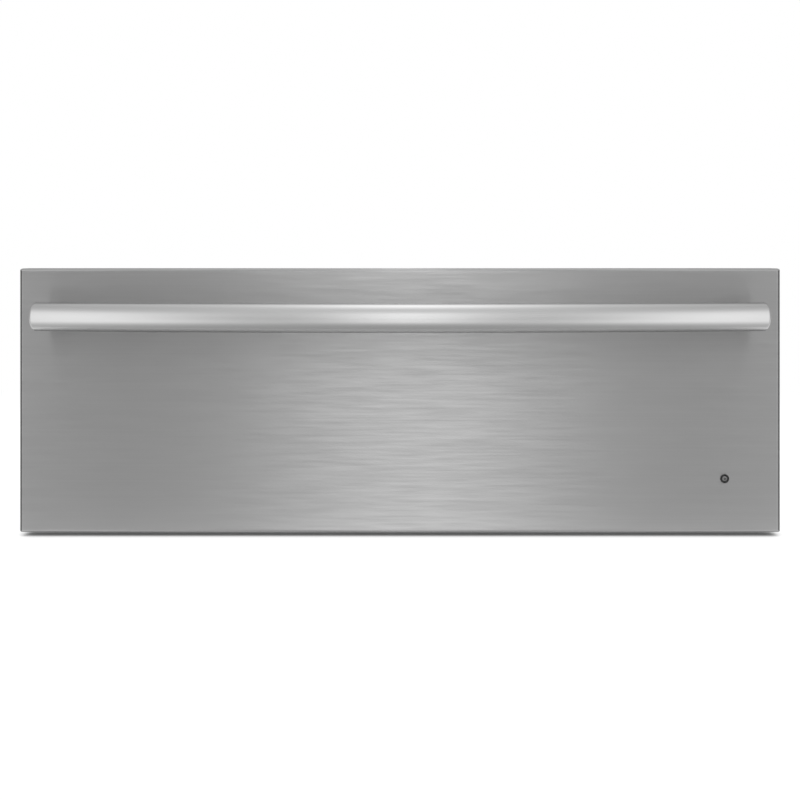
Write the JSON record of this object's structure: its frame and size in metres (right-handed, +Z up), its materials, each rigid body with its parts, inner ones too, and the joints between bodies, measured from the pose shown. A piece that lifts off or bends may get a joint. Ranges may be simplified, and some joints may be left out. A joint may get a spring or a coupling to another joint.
{
  "type": "warming drawer",
  "caption": "Built-in heated drawer: brushed stainless front with a bowed tube handle, insulated casing, pan and rack on ball slides, thermostat and element.",
  "frame": {"origin": "under the middle of the whole object, on the surface that its rubber pads stand on", "axes": "+Z up, the front faces -Y and the drawer opens that way, +X to the right as seen from the front"},
  "size_m": [0.755, 0.6768, 0.266],
  "materials": {
    "brushed_stainless": "horizontally brushed",
    "handle_stainless": "satin",
    "stainless_sheet": "mill",
    "galvanised_sheet": "galvanised",
    "zinc_slides": "zinc plated",
    "bearing_steel": "polished balls in a zinc cage",
    "chromed_wire": "chromed",
    "fastener_steel": "zinc plated",
    "element_steel": "heat-darkened sheath",
    "mineral_wool": "pressed wool",
    "silicone": "matt",
    "black_rubber": "matt",
    "gloss_black": "glossy",
    "clear_rod": "clear acrylic",
    "black_plastic": "fine texture",
    "dial_enamel": "anodised",
    "ceramic_white": "glazed",
    "thermostat_case": "passivated",
    "lamp_amber": "clear amber",
    "copper_tube": "drawn copper"
  },
  "bodies": {
    "chassis": {"slide_outer_left": "zinc_slides", "slide_outer_right": "zinc_slides", "slide_bracket_left": "galvanised_sheet", "slide_bracket_right": "galvanised_sheet", "front_frame": "galvanised_sheet", "casing_wrap": "galvanised_sheet", "top_cover": "galvanised_sheet", "back_panel": "galvanised_sheet", "tapping_screws": "fastener_steel", "base_rails": "galvanised_sheet", "rubber_pads": "black_rubber", "cavity_liner": "stainless_sheet", "insulation_top": "mineral_wool", "insulation_bottom": "mineral_wool", "insulation_left": "mineral_wool", "insulation_right": "mineral_wool", "insulation_back": "mineral_wool", "heating_element": "element_steel", "element_supports": "galvanised_sheet", "element_bushings": "ceramic_white", "thermal_cutout": "black_plastic", "thermostat_bulb": "copper_tube", "bulb_clips": "fastener_steel", "capillary_tube": "copper_tube", "thermostat_body": "thermostat_case", "dial_plate": "dial_enamel", "pilot_lamp": "lamp_amber", "wiring_loom": "black_rubber", "terminal_block": "ceramic_white", "cord_gland": "black_plastic", "gland_nut": "black_plastic"},
    "drawer": {"front_skin": "brushed_stainless", "front_inner_panel": "stainless_sheet", "front_insulation": "mineral_wool", "front_seal": "silicone", "handle_bar": "handle_stainless", "handle_end_caps": "handle_stainless", "handle_post_left": "handle_stainless", "handle_post_right": "handle_stainless", "handle_screws": "fastener_steel", "indicator_bezel": "gloss_black", "indicator_light_pipe": "clear_rod", "drawer_rail_left": "galvanised_sheet", "drawer_rail_right": "galvanised_sheet", "drawer_front_rail": "galvanised_sheet", "drawer_rear_rail": "galvanised_sheet", "warming_pan": "stainless_sheet", "wire_rack": "chromed_wire", "drawer_rivets": "fastener_steel", "slide_inner_left": "zinc_slides", "slide_inner_right": "zinc_slides"},
    "slide_middle_left": {"slide_middle_left": "zinc_slides"},
    "slide_middle_right": {"slide_middle_right": "zinc_slides"},
    "cage_outer_left": {"ball_cage_outer_left": "bearing_steel"},
    "cage_outer_right": {"ball_cage_outer_right": "bearing_steel"},
    "cage_inner_left": {"ball_cage_inner_left": "bearing_steel"},
    "cage_inner_right": {"ball_cage_inner_right": "bearing_steel"},
    "control_knob": {"control_knob": "black_plastic", "thermostat_shaft": "fastener_steel"},
    "vent_slider": {"vent_slider": "stainless_sheet"}
  },
  "joints": [
    {"name": "drawer_slide", "type": "slide", "parent": "chassis", "child": "drawer", "axis": [0, -1, 0], "range_m": [0, 0.42]},
    {"name": "slide_middle_left_slide", "type": "slide", "parent": "chassis", "child": "slide_middle_left", "axis": [0, -1, 0], "range_m": [0, 0.21]},
    {"name": "slide_middle_right_slide", "type": "slide", "parent": "chassis", "child": "slide_middle_right", "axis": [0, -1, 0], "range_m": [0, 0.21]},
    {"name": "cage_outer_left_slide", "type": "slide", "parent": "chassis", "child": "cage_outer_left", "axis": [0, -1, 0], "range_m": [0, 0.105]},
    {"name": "cage_outer_right_slide", "type": "slide", "parent": "chassis", "child": "cage_outer_right", "axis": [0, -1, 0], "range_m": [0, 0.105]},
    {"name": "cage_inner_left_slide", "type": "slide", "parent": "chassis", "child": "cage_inner_left", "axis": [0, -1, 0], "range_m": [0, 0.315]},
    {"name": "cage_inner_right_slide", "type": "slide", "parent": "chassis", "child": "cage_inner_right", "axis": [0, -1, 0], "range_m": [0, 0.315]},
    {"name": "knob_turn", "type": "hinge", "parent": "chassis", "child": "control_knob", "pos_m": [0.339, -0.2376, 0.18], "axis": [0, 1, 0], "range_deg": [0, 270]},
    {"name": "vent_slide", "type": "slide", "parent": "drawer", "child": "vent_slider", "axis": [1, 0, 0], "range_m": [0, 0.017]}
  ],
  "couplings": [
    {"joint": "slide_middle_left_slide", "follows": "drawer_slide", "ratio": 0.5},
    {"joint": "slide_middle_right_slide", "follows": "drawer_slide", "ratio": 0.5},
    {"joint": "cage_outer_left_slide", "follows": "drawer_slide", "ratio": 0.25},
    {"joint": "cage_outer_right_slide", "follows": "drawer_slide", "ratio": 0.25},
    {"joint": "cage_inner_left_slide", "follows": "drawer_slide", "ratio": 0.75},
    {"joint": "cage_inner_right_slide", "follows": "drawer_slide", "ratio": 0.75}
  ]
}
